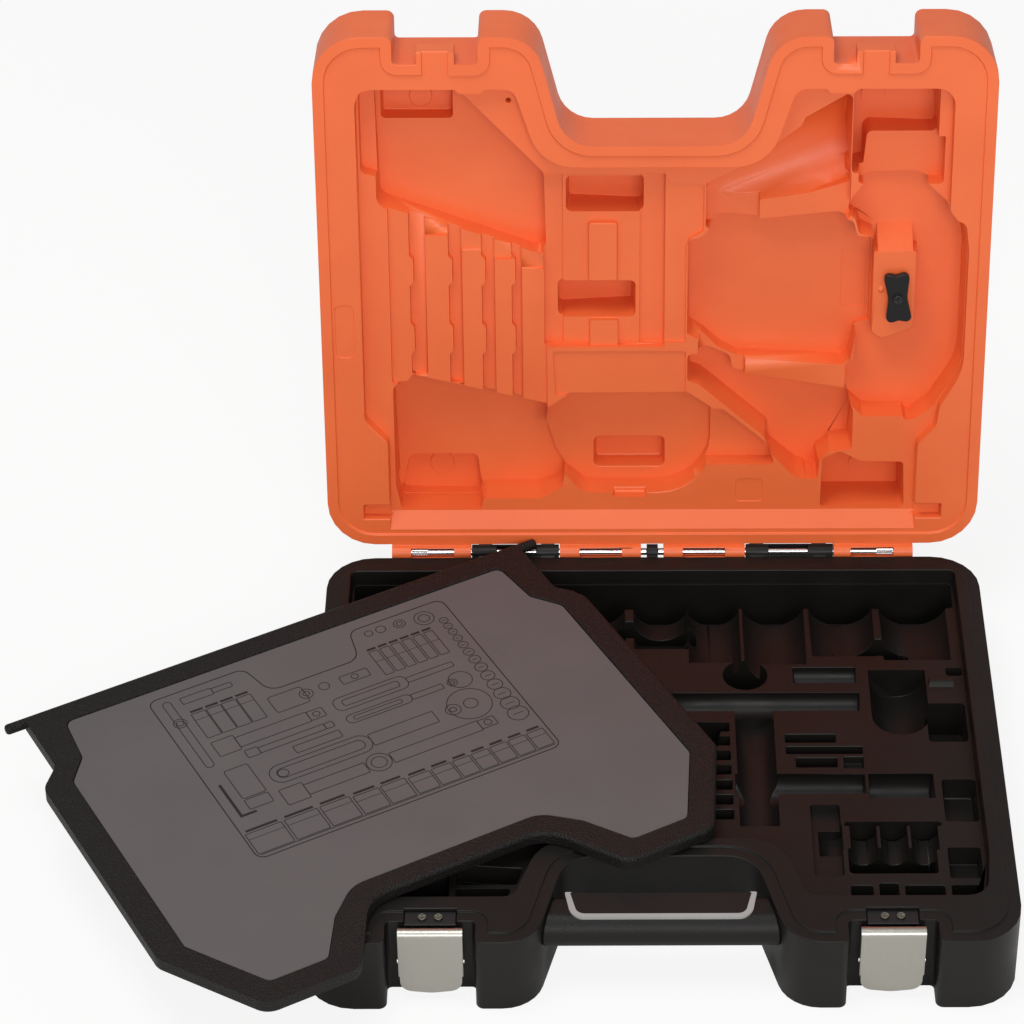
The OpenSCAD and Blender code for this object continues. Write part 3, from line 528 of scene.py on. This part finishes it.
def lean_walls(mesh, top_point, into, full_depth, lean, keep_out):
    """Moves wall points sideways; 'into' points from the parting plane into the shell."""
    depth = {v: (v.co - top_point).dot(into) for v in mesh.verts}
    wants, along = wall_wants(mesh, depth, into, full_depth, math.tan(lean), keep_out)
    home = {}
    for v, rows in wants.items():
        most = max(row[2] for row in rows)
        if most < 1e-6:
            continue
        table = np.array(rows + [(weak_pull, 0, 0), (0, weak_pull, 0)])
        step = np.linalg.lstsq(table[:, :2], table[:, 2], rcond=None)[0]
        step = step * min(1.0, furthest_step * most / max(float(np.hypot(*step)), 1e-9))
        home[v] = v.co.copy()
        v.co = v.co + across * float(step[0]) + along * float(step[1])
    facing = {f: f.normal.copy() for f in mesh.faces}
    for _ in range(5):
        mesh.normal_update()
        turned = [f for f in mesh.faces
                  if f.normal.dot(facing[f]) < turned_over < facing[f].length]
        for v in {v for f in turned for v in f.verts if v in home}:
            v.co = home[v]
        if not turned:
            break
    mesh.normal_update()
    return len(home)


def shell_rounding(top_point, into, full_depth, outer, convex, concave):
    """Wanted widths for a shell: wide where its outer walls meet its far side."""
    def wanted(edge):
        deepest = full_depth - edge_of_shell
        far = min((v.co - top_point).dot(into) for v in edge.verts) > deepest
        facing = sorted(abs(f.normal.dot(into)) for f in edge.link_faces)
        if far and facing[0] < 0.05 and facing[1] > 0.9:
            return outer
        return convex if edge.is_convex else concave
    return wanted


wall_lean = math.radians(5.0)
print("walls will lean", round(math.degrees(wall_lean), 1), "degrees")

# %% [markdown]
# ## The two shells
# Walls by the hinge and along the front stay upright, because the knuckles, the latches and
# the handle are fitted to them. Outer edges get a wide rounding and pocket edges a small one.

# %% Lid shell
by_hinge, by_front = 0.012, 0.3455
outer_round, pocket_round = 0.005, 0.0008


def stays_upright(distance):
    """True for walls that are this near the hinge, or this far out along the front."""
    return not by_hinge < distance < by_front


lid_mesh = merged_copy("lid_shell")
leaned = lean_walls(lid_mesh, hinge_at, lid_into, lid_deep, wall_lean,
                    lambda p: stays_upright((p - hinge_at).dot(lid_along)))
cut_far_side(lid_mesh, hinge_at, lid_into, lid_deep, 0.0)
lid_rounding = shell_rounding(hinge_at, lid_into, lid_deep, outer_round, pocket_round, 0.0014)
rounded_piece(lid_mesh, "case_lid", "lid", orange_plastic, "lid_shell",
              lid_rounding, outer_round, 3)
print("lid: leaned", leaned, "points")

# %% [markdown]
# The base is done in the same way. Its underside has flutes on the left and on the right, so
# it is cut twice.

# %% Base shell
base_into = Vector((0, 0, -1))
base_mesh = merged_copy("base_shell")
leaned = lean_walls(base_mesh, hinge_at, base_into, base_deep, wall_lean,
                    lambda p: stays_upright(hinge_at.y - p.y))
for side in (-1, 1):
    cut_far_side(base_mesh, hinge_at, base_into, base_deep, side * 0.54 * base_high.x)
base_rounding = shell_rounding(hinge_at, base_into, base_deep, outer_round, pocket_round, 0.0012)
rounded_piece(base_mesh, "case_base", "base", black_plastic, "base_shell",
              base_rounding, outer_round, 3)
print("base: leaned", leaned, "points")

# %% [markdown]
# ## Metals for the rest
# Steel for the pins, satin metal for the latch covers, and dull zinc for the screws. Fine
# streaks change the roughness a little, as turning and rolling leave them.

# %% Metals
def turned_metal(name, colour, roughness, stretch=(1, 1, 1), grain=1500.0):
    """Metal with streaks, which run along an axis whose stretch is small."""
    material, tree, shader = new_material(name, colour, roughness, 1.0)
    coords = object_coords(tree, stretch)
    streaks = noise(tree, coords, grain, 3.0, 0.6)
    tree.links.new(remap(tree, streaks, 0.3, 0.7, roughness - 0.07, roughness + 0.08),
                   shader.inputs["Roughness"])
    bump(tree, shader, streaks, 0.00001)
    return material


bright_steel = turned_metal("bright_steel", (0.74, 0.74, 0.76), 0.2, (0.02, 1, 1))
screw_steel = turned_metal("screw_steel", (0.60, 0.59, 0.56), 0.3)
dull_zinc = turned_metal("dull_zinc", (0.20, 0.20, 0.17), 0.42)
latch_metal = turned_metal("latch_metal", (0.43, 0.415, 0.375), 0.36, (1, 1, 0.05), 900.0)
dark_steel = turned_metal("dark_steel", (0.05, 0.05, 0.052), 0.45)
print("metals ready")

# %% [markdown]
# ## Plastics for the rest
# What the hand touches is grained like leather, by smooth rounded cells. The small smooth
# pieces and the sheet are of the same kind of plastic as the shells.

# %% Grained plastics
def grained_plastic(name, colour, roughness, grain_scale, grain_depth=0.00012):
    """Plastic with rounded grains, grain_scale of them to the metre."""
    material, tree, shader = new_material(name, colour, roughness)
    coords = object_coords(tree)
    cells = tree.nodes.new("ShaderNodeTexVoronoi")
    cells.feature = "SMOOTH_F1"
    cells.inputs["Scale"].default_value = grain_scale
    cells.inputs["Smoothness"].default_value = 0.6
    tree.links.new(coords, cells.inputs["Vector"])
    bump(tree, shader, cells.outputs["Distance"], grain_depth)
    bump(tree, shader, noise(tree, coords, 2600.0, 2.0), 0.00003)
    tint = remap(tree, noise(tree, coords, 30.0, 3.0), 0.35, 0.7, 0.85, 1.15)
    tree.links.new(blend_colours(tree, tint, tuple(c * 0.85 for c in colour), colour),
                   shader.inputs["Base Color"])
    return material


panel_plastic = grained_plastic("panel_plastic", (0.0080, 0.0068, 0.0064), 0.5, 850.0, 0.0007)
grip_plastic = grained_plastic("grip_plastic", (0.0080, 0.0070, 0.0066), 0.46, 800.0)
thumb_plastic = moulded_plastic("thumb_plastic", (0.0120, 0.0105, 0.0100),
                                (0.0100, 0.0088, 0.0084), 0.36, 0.00005)
inlay_plastic = moulded_plastic("inlay_plastic", (0.36, 0.355, 0.35),
                                (0.33, 0.325, 0.32), 0.4, 0.00004)
clip_plastic = moulded_plastic("clip_plastic", (0.012, 0.011, 0.011),
                               (0.010, 0.010, 0.010), 0.3, 0.00004)
sheet_grey = moulded_plastic("sheet_grey", (0.115, 0.104, 0.104),
                             (0.107, 0.097, 0.098), 0.5, 0.00006)
print("plastics ready")

# %% [markdown]
# ## The other pieces
# The small pieces keep their CAD shapes. Each is shown by a copy with softened edges.

# %% Small pieces
def dressed(node, body, material, width, segments=2):
    """Shows a CAD node by a copy whose edges are rounded by one width."""
    rounded_piece(merged_copy(node), node + "_dressed", body, material, node,
                  lambda edge: width, width, segments)


for side in ("left", "right"):
    dressed("latch_bracket_" + side, "base", dark_steel, 0.0003)
    dressed("latch_screws_" + side, "base", dull_zinc, 0.0003)
    dressed("latch_base_pin_" + side, "base", screw_steel, 0.0003)
    dressed("latch_links_" + side, "link_" + side, screw_steel, 0.0003)
    dressed("latch_cover_pin_" + side, "link_" + side, screw_steel, 0.0003)
    dressed("latch_cover_" + side, "cover_" + side, latch_metal, 0.0005, 3)
    dressed("hinge_pin_" + side, "base", bright_steel, 0.0004)
dressed("handle_grip", "base", grip_plastic, 0.0012, 3)
dressed("handle_rod", "base", bright_steel, 0.0004)
dressed("handle_thumb_rest", "base", thumb_plastic, 0.0004, 3)
dressed("handle_inlay", "base", inlay_plastic, 0.0004)
for part in ("panel_frame", "panel_bar"):
    dressed(part, "panel", panel_plastic, 0.003, 4)
dressed("panel_sheet", "panel", sheet_grey, 0.0002, 1)
dressed("turn_clip", "clip", clip_plastic, 0.0008, 3)
dressed("clip_washer", "lid", dark_steel, 0.0002, 1)
dressed("clip_screw", "lid", dark_steel, 0.0004)

# %% [markdown]
# ## The print on the sheet
# The real sheet carries a printed plan of the tools. Here it is a plain drawing of the same
# kind: thin dark lines that show rings, bars and boxes. A short edge is dragged along each
# line's path, as a pen's nib is, and leaves a flat band. The ink then gets a little height.
# The drawing is made flat on the table first, in the panel's own millimetres.

# %% The pen's nib
sheet_top = 0.00812
sharpest_mitre = 0.35
ink = bmesh.new()


def pen_spots(path, k, width, closed):
    """The two ends of the pen's nib at one point of its path, mitred at the bends."""
    count = len(path)
    here = path[k % count]
    before = path[(k - 1) % count] if closed or k else here * 2 - path[1]
    after = path[(k + 1) % count] if closed or k < count - 1 else here * 2 - path[k - 1]
    a, b = (here - before).normalized(), (after - here).normalized()
    out = Vector((-(a.y + b.y), a.x + b.x, 0)).normalized()
    reach = width / 2 / max(sharpest_mitre, out.dot(Vector((-a.y, a.x, 0))))
    return [(here + out * side * reach) / 1000 + Vector((0, 0, sheet_top)) for side in (-1, 1)]


print("nib ready, on a sheet at", sheet_top * 1000, "mm")

# %% [markdown]
# A stroke starts with the nib as one edge and extrudes it from point to point. Lines, rings
# and boxes are all strokes: only their paths differ.

# %% Strokes of ink
def stroke(points, width=0.6, closed=True):
    """Drags a short edge along points given in millimetres across and down the panel."""
    path = [Vector((x, -u, 0)) for x, u in points]
    spots = pen_spots(path, 0, width, closed)
    first = [ink.verts.new(spot) for spot in spots]
    nib = ink.edges.new(first)
    for k in range(1, len(path) + closed):
        last, spots = spots, pen_spots(path, k, width, closed)
        grown = bmesh.ops.extrude_edge_only(ink, edges=[nib])["geom"]
        nib = next(g for g in grown if isinstance(g, bmesh.types.BMEdge))
        for v in nib.verts:
            v.co = spots[0] if (v.co - last[0]).length < (v.co - last[1]).length else spots[1]
    if closed:
        bmesh.ops.remove_doubles(ink, verts=first + list(nib.verts), dist=1e-7)


def line(x0, u0, x1, u1, width=0.6):
    """A straight line from one place to another."""
    stroke([(x0, u0), (x1, u1)], width, False)


def ring(x, u, radius, sides=24):
    """A circle round a place."""
    stroke([(x + radius * math.cos(math.tau * k / sides),
             u + radius * math.sin(math.tau * k / sides)) for k in range(sides)])


def outline(corners, width=0.6):
    """A closed line whose corners, given as across, down and radius, are rounded."""
    points = []
    for k, (x, u, radius) in enumerate(corners):
        here = Vector((x, u))
        others = (corners[k - 1], corners[(k + 1) % len(corners)])
        arms = [(Vector(other[:2]) - here).normalized() for other in others]
        half = arms[0].angle(arms[1]) / 2
        start, end = [here + arm * radius / math.tan(half) for arm in arms]
        middle = here + (arms[0] + arms[1]).normalized() * radius / math.sin(half)
        for step in (0, 0.25, 0.5, 0.75, 1):
            way = (start - middle).lerp(end - middle, step).normalized() * radius
            points.append(tuple(middle + way))
    stroke(points, width)


def box(x0, u0, x1, u1, corner=0.8):
    """A box with rounded corners."""
    outline([(x0, u0, corner), (x1, u0, corner), (x1, u1, corner), (x0, u1, corner)])


print("pen ready")

# %% [markdown]
# Now the plan itself, in millimetres across and down the panel. It has a border with a dip
# for the handle, and rows of boxes under heavy lines.

# %% Border and boxes
heavy, fine = 2.0, 0.4
outline([(-106, 23.6, 6), (-37, 23.6, 7), (-31, 52, 10), (34, 52, 10), (41, 24, 7), (110, 24, 6),
         (110, 191.6, 6), (-106, 191.6, 6)], 0.8)
line(-103, 188.6, 107, 188.6)
# Front row of boxes: left edge, right edge, height of the heavy line
for x0, x1, u in ((-104, -79, 165), (-77, -54, 165), (-52, -31.5, 165), (-29.5, -11.5, 167),
                  (-10, 7, 167), (9, 24, 168.5), (25.5, 39.5, 168.5), (41, 53, 168.5),
                  (54.5, 66.5, 168.5), (68, 80, 168.5), (81.5, 93.5, 168.5), (95, 107, 168.5)):
    line(x0 + 1.5, u, x1 - 1.5, u, heavy)
    box(x0, u + 2.5, x1, 187.5)
    line(x0, u + 8, x1, u + 8, fine)
# Boxes at the back, on both sides of the dip
for k in range(4):
    x = -86 + 10.8 * k
    line(x + 0.5, 45.5, x + 9.5, 45.5, heavy)
    box(x, 48, x + 10, 74)
    line(x, 54.5, x + 10, 54.5, fine)
for k in range(6):
    x = 42.5 + 8.2 * k
    line(x, 47, x + 6.5, 47, heavy)
    box(x, 49.5, x + 6.5, 75)
    line(x, 60, x + 6.5, 60, fine)
print("ink faces so far:", len(ink.faces))

# %% [markdown]
# Inside the border lie long bars with rings on them, and a chain of rings that grow along one
# side.

# %% Bars and rings
# Bars: left, back, right, front and corner
for bar in ((-98.5, 29, -92.8, 100, 2.7), (-86, 30, -64, 36.5, 1), (-64, 31, -50, 35.5, 1),
            (-86.5, 79, -71, 94, 1), (-71, 82, -20, 92, 1), (-20, 82.5, -9, 91.5, 1),
            (-71, 96.5, -62, 104, 1), (-62, 98, -15, 103.5, 1), (-15, 98, -9, 103.5, 1),
            (-42, 108, -9, 115, 1), (-36, 57.5, -12, 74, 2), (14, 62, 34, 70, 1),
            (-1, 80, 52, 93, 5), (5, 83.5, 46, 89.5, 2), (52, 84, 86, 89, 1),
            (0, 98.5, 47, 107, 4), (5, 101, 40, 104.5, 1.5), (47, 100.5, 70, 105.5, 0.5),
            (-67, 119, 5, 136, 8), (-62, 123, 0, 132, 4), (5, 121.5, 52, 133, 1),
            (-68, 141, -52, 156.5, 1), (-52, 144, -9, 154, 0.5), (9, 144, 73, 154, 0.5),
            (73, 144.5, 84.5, 153, 1), (-91, 108, -74.5, 137, 1.5), (-91, 138.5, -74.5, 148, 1)):
    box(*bar)
stroke([(-98.5, 118), (-98.5, 151), (-88, 151)], heavy, False)
# Rings: across, down, radius
for spot in ((-95.6, 52.3, 4.4), (-95.6, 52.3, 2.4), (51.5, 32, 2.8), (60.5, 32, 3.4), (74, 33, 4),
             (74, 33, 2), (91, 36, 6.8), (91, 36, 3.8), (-11.5, 66, 4.6), (-11.5, 66, 2.2),
             (2, 65, 3.6), (24, 66, 2.4), (-14.5, 87, 2.4), (77, 103, 3.4), (77, 103, 1.6),
             (83, 103, 8), (65, 127, 5.2), (65, 127, 2.2), (77, 127, 15), (78, 127, 4.8),
             (0, 148.5, 8.4), (0, 148.5, 5.2), (79, 148.7, 2.6), (-58, 127.5, 3.6)):
    ring(*spot)
for k in range(13):
    x, u, radius = 101.5 - 0.1 * k, 44.5 + 6.2 * k + 0.22 * k * k, 2.9 + 0.028 * k * k
    ring(x, u, radius)
    line(x - radius / 2, u, x + radius / 2, u, 0.5)
print("ink faces:", len(ink.faces))

# %% [markdown]
# The flat ink is raised a little, turned into the panel's place, and made an object that
# moves with the panel.

# %% Set the ink on the sheet
ink_high = 0.00014
panel_tip = hinge_at + Vector((-0.0805, -0.0017, 0.0035))
panel_turn, panel_tilt = math.radians(29.3), math.asin(2 / 330)
tip_from_middle = 0.196
panel_place = (Matrix.Translation(panel_tip) @ Matrix.Rotation(panel_turn, 4, "Z")
               @ Matrix.Rotation(panel_tilt, 4, "X")
               @ Matrix.Translation((-tip_from_middle, 0, 0)))
for face in ink.faces:
    face.normal_update()
top = bmesh.ops.extrude_face_region(ink, geom=ink.faces[:], use_keep_orig=True)
raised = [g for g in top["geom"] if isinstance(g, bmesh.types.BMVert)]
bmesh.ops.translate(ink, verts=raised, vec=(0, 0, ink_high))
bmesh.ops.recalc_face_normals(ink, faces=ink.faces[:])
bmesh.ops.transform(ink, matrix=panel_place, verts=ink.verts)
ink_dark = moulded_plastic("ink_dark", (0.022, 0.019, 0.020), (0.018, 0.016, 0.017), 0.5, 0.00002)
drawing = shown_object(ink, "sheet_drawing", ink_dark)
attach(drawing, "panel")
print("drawing set on the sheet")

# %% [markdown]
# ## Knurled ends of the hinge pins
# The pins are driven in from the sides. Their outer ends are knurled, so that they bite
# into the plastic. A knurl is a ring of small teeth that run along the pin.

# %% Knurls
pin_end, knurl_long = 0.1655, 0.011
knurl_radius, tooth_valley, teeth = 0.00262, 0.9, 18


def knurl(name, x0):
    """A toothed ring round the hinge pin that starts at x0."""
    mesh = bmesh.new()
    rim = bmesh.ops.create_circle(mesh, cap_ends=True, radius=knurl_radius,
                                  segments=teeth * 2)
    for k, v in enumerate(rim["verts"]):
        v.co *= 1.0 if k % 2 else tooth_valley
    grown = bmesh.ops.extrude_face_region(mesh, geom=mesh.faces[:], use_keep_orig=True)
    far = [g for g in grown["geom"] if isinstance(g, bmesh.types.BMVert)]
    bmesh.ops.translate(mesh, verts=far, vec=(0, 0, knurl_long))
    place = Matrix.Translation((x0, hinge_at.y, hinge_at.z)) @ Matrix.Rotation(math.pi / 2, 4, "Y")
    bmesh.ops.transform(mesh, matrix=place, verts=mesh.verts)
    bmesh.ops.recalc_face_normals(mesh, faces=mesh.faces[:])
    piece = shown_object(mesh, name, bright_steel)
    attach(piece, "base")


knurl("knurl_right", pin_end - knurl_long)
knurl("knurl_left", -pin_end)
print("knurls made")

# %% [markdown]
# ## The floor
# A pale floor carries the case's shadow. The picture's background is plain white, so most of
# what the camera sees of the floor is a white glow, which throws no light on the case.

# %% Floor
white_share = 0.86
floor_gap = 0.0002
floor_half = 6.0


def pale_floor():
    """Pale paper that looks nearly white to the camera alone."""
    material, tree, shader = new_material("floor_paper", (0.82, 0.82, 0.81), 0.8)
    coords = object_coords(tree)
    bump(tree, shader, noise(tree, coords, 600.0, 3.0), 0.00005)
    glow = tree.nodes.new("ShaderNodeEmission")
    glow.inputs["Color"].default_value = (1, 1, 1, 1)
    glow.inputs["Strength"].default_value = 1.0
    rays = tree.nodes.new("ShaderNodeLightPath")
    amount = tree.nodes.new("ShaderNodeMath")
    amount.operation = "MULTIPLY"
    amount.inputs[1].default_value = white_share
    mix = tree.nodes.new("ShaderNodeMixShader")
    tree.links.new(rays.outputs["Is Camera Ray"], amount.inputs[0])
    tree.links.new(amount.outputs["Value"], mix.inputs["Fac"])
    tree.links.new(shader.outputs["BSDF"], mix.inputs[1])
    tree.links.new(glow.outputs["Emission"], mix.inputs[2])
    tree.links.new(mix.outputs["Shader"], tree.nodes["Material Output"].inputs["Surface"])
    return material


floor_mesh = bmesh.new()
bmesh.ops.create_grid(floor_mesh, x_segments=1, y_segments=1, size=floor_half)
bmesh.ops.translate(floor_mesh, verts=floor_mesh.verts, vec=(0, 0, base_low.z - floor_gap))
floor = shown_object(floor_mesh, "floor", pale_floor())
print("floor at", round(base_low.z - floor_gap, 4))

# %% [markdown]
# ## World and lamps
# The world shows the camera white and lights the case with a soft grey sky. Two large lamps,
# one overhead and one from the front, give the plastic its slow highlights.

# %% World and lamps
def white_world(strength):
    """A sky that is white to the camera and lights the scene with this strength."""
    world = bpy.data.worlds.new("studio")
    world.use_nodes = True
    tree = world.node_tree
    sky = tree.nodes["Background"]
    sky.inputs["Color"].default_value = (1.0, 0.995, 0.985, 1)
    sky.inputs["Strength"].default_value = strength
    white = tree.nodes.new("ShaderNodeBackground")
    white.inputs["Strength"].default_value = 1.0
    white.inputs["Color"].default_value = (1, 1, 1, 1)
    rays = tree.nodes.new("ShaderNodeLightPath")
    mix = tree.nodes.new("ShaderNodeMixShader")
    tree.links.new(rays.outputs["Is Camera Ray"], mix.inputs["Fac"])
    tree.links.new(sky.outputs["Background"], mix.inputs[1])
    tree.links.new(white.outputs["Background"], mix.inputs[2])
    tree.links.new(mix.outputs["Shader"], tree.nodes["World Output"].inputs["Surface"])
    bpy.context.scene.world = world


def lamp(name, at, aim, size, power):
    """A rectangular lamp at one place that points at another."""
    data = bpy.data.lights.new(name, "AREA")
    data.shape = "RECTANGLE"
    data.size, data.size_y = size
    data.energy = power
    light = bpy.data.objects.new(name, data)
    light.location = at
    light.rotation_euler = (Vector(aim) - Vector(at)).to_track_quat("-Z", "Y").to_euler()
    bpy.context.scene.collection.objects.link(light)


white_world(0.45)
lamp("overhead", (-0.5, -0.2, 2.2), (0, 0.05, 0.1), (1.0, 0.8), 18)
lamp("front", (0.3, -2.3, 1.5), (0, 0.1, 0.2), (1.6, 1.2), 33)

# %% [markdown]
# ## The last step

# %% Finish
print("finished")
